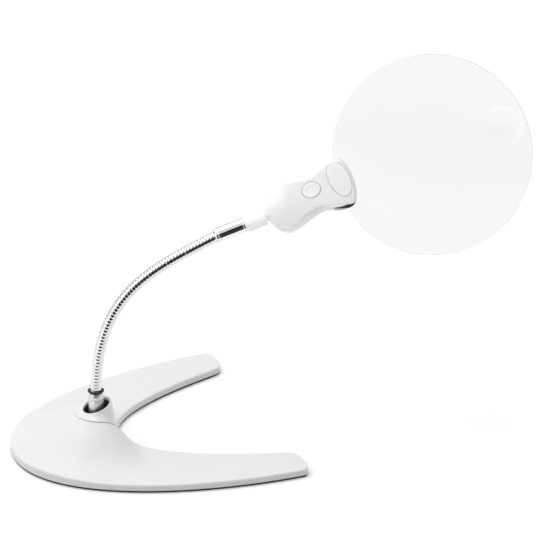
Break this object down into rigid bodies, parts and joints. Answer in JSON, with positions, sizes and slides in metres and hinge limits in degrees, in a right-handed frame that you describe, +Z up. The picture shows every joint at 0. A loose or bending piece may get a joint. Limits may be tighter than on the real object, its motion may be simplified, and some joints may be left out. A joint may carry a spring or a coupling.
{
  "type": "magnifying lamp",
  "caption": "Desk magnifying lamp: horseshoe base, flexible metal neck, battery head with a push switch, and a round rimless lens with a small stronger lens in it.",
  "frame": {"origin": "on the underside of the base, on the axis of the neck's socket", "axes": "+Z up; +X along the base's line of symmetry, from the rounded nose to the open ends of the legs; the neck bends forwards over the notch, turned 13.5 degrees towards -Y"},
  "size_m": [0.3346, 0.1846, 0.2542],
  "materials": {
    "white_plastic": "satin gloss white, moulded",
    "grey_plastic": "matte grey",
    "black_rubber": "matte black, fine texture",
    "black_plastic": "matte black",
    "steel": "plain rolled steel",
    "chrome": "polished chrome plate",
    "lens": null,
    "cell": "wrapped steel can",
    "brass": "plated spring brass",
    "board": "green lacquered board",
    "led": "clear epoxy over yellow phosphor"
  },
  "bodies": {
    "base": {"base_shell": "white_plastic", "ballast_plate": "steel", "anti_slip_pad": "black_rubber", "base_screw_1": "steel", "base_screw_2": "steel", "base_screw_3": "steel", "socket_collar": "white_plastic", "collar_nut": "grey_plastic", "socket_bush": "black_rubber"},
    "neck_foot": {"lower_ferrule": "chrome", "neck_ring": "black_rubber", "gooseneck_01": "chrome"},
    "neck_2": {"gooseneck_02": "chrome"},
    "neck_3": {"gooseneck_03": "chrome"},
    "neck_4": {"gooseneck_04": "chrome"},
    "neck_5": {"gooseneck_05": "chrome"},
    "neck_6": {"gooseneck_06": "chrome"},
    "neck_7": {"gooseneck_07": "chrome"},
    "neck_8": {"gooseneck_08": "chrome"},
    "neck_9": {"gooseneck_09": "chrome"},
    "neck_top": {"gooseneck_10": "chrome", "upper_ferrule": "chrome"},
    "head": {"head_stem": "white_plastic", "head_front_shell": "white_plastic", "head_rear_shell": "white_plastic", "circuit_board": "board", "tact_switch": "black_plastic", "battery_1": "cell", "battery_2": "cell", "contact_plate": "brass", "cover_panel": "white_plastic", "head_screw_1": "steel", "head_screw_2": "steel", "led_1": "led", "led_2": "led", "lens": "lens", "lens_gasket": "black_rubber"},
    "switch_button": {"power_button": "white_plastic"},
    "door": {"battery_door": "white_plastic"}
  },
  "joints": [
    {"name": "neck_swivel", "type": "hinge", "parent": "base", "child": "neck_foot", "pos_m": [0, 0, 0.02], "axis": [0, 0, 1], "continuous": true},
    {"name": "neck_bend_1", "type": "hinge", "parent": "neck_foot", "child": "neck_2", "pos_m": [0.00103, -0.00025, 0.05569], "axis": [-0.2328, -0.9725, 0], "range_deg": [-6, 14]},
    {"name": "neck_side_1", "type": "hinge", "parent": "neck_2", "child": "neck_3", "pos_m": [0.0032, -0.00077, 0.06963], "axis": [-0.9504, 0.2275, 0.212], "range_deg": [-15, 15]},
    {"name": "neck_bend_2", "type": "hinge", "parent": "neck_3", "child": "neck_4", "pos_m": [0.00698, -0.00167, 0.0832], "axis": [-0.2328, -0.9725, 0], "range_deg": [-6, 14]},
    {"name": "neck_side_2", "type": "hinge", "parent": "neck_4", "child": "neck_5", "pos_m": [0.01268, -0.00303, 0.09604], "axis": [-0.8469, 0.2027, 0.4916], "range_deg": [-15, 15]},
    {"name": "neck_bend_3", "type": "hinge", "parent": "neck_5", "child": "neck_6", "pos_m": [0.02048, -0.0049, 0.10764], "axis": [-0.2328, -0.9725, 0], "range_deg": [-6, 14]},
    {"name": "neck_side_3", "type": "hinge", "parent": "neck_6", "child": "neck_7", "pos_m": [0.03015, -0.00722, 0.11766], "axis": [-0.6321, 0.1513, 0.76], "range_deg": [-15, 15]},
    {"name": "neck_bend_4", "type": "hinge", "parent": "neck_7", "child": "neck_8", "pos_m": [0.04116, -0.00985, 0.12608], "axis": [-0.2328, -0.9725, 0], "range_deg": [-6, 14]},
    {"name": "neck_side_4", "type": "hinge", "parent": "neck_8", "child": "neck_9", "pos_m": [0.05298, -0.01268, 0.13328], "axis": [-0.4648, 0.1112, 0.8784], "range_deg": [-15, 15]},
    {"name": "neck_bend_5", "type": "hinge", "parent": "neck_9", "child": "neck_top", "pos_m": [0.06519, -0.0156, 0.13975], "axis": [-0.2328, -0.9725, 0], "range_deg": [-6, 14]},
    {"name": "head_swivel", "type": "hinge", "parent": "neck_top", "child": "head", "pos_m": [0.11051, -0.02679, 0.15874], "axis": [0.9139, -0.2187, 0.342], "range_deg": [-95, 95]},
    {"name": "button_press", "type": "slide", "parent": "head", "child": "switch_button", "axis": [0.3416, 0.8415, -0.4186], "range_m": [0, 0.0007], "stiffness_N_per_m": 900, "springref_m": -0.0008},
    {"name": "battery_door_lift", "type": "slide", "parent": "head", "child": "door", "axis": [0.3416, 0.8415, -0.4186], "range_m": [0, 0.02]}
  ],
  "couplings": [
    {"joint": "neck_bend_2", "follows": "neck_bend_1", "ratio": 1},
    {"joint": "neck_side_2", "follows": "neck_side_1", "ratio": 1},
    {"joint": "neck_bend_3", "follows": "neck_bend_1", "ratio": 1},
    {"joint": "neck_side_3", "follows": "neck_side_1", "ratio": 1},
    {"joint": "neck_side_4", "follows": "neck_side_1", "ratio": 1},
    {"joint": "neck_bend_5", "follows": "neck_bend_4", "ratio": 1}
  ]
}
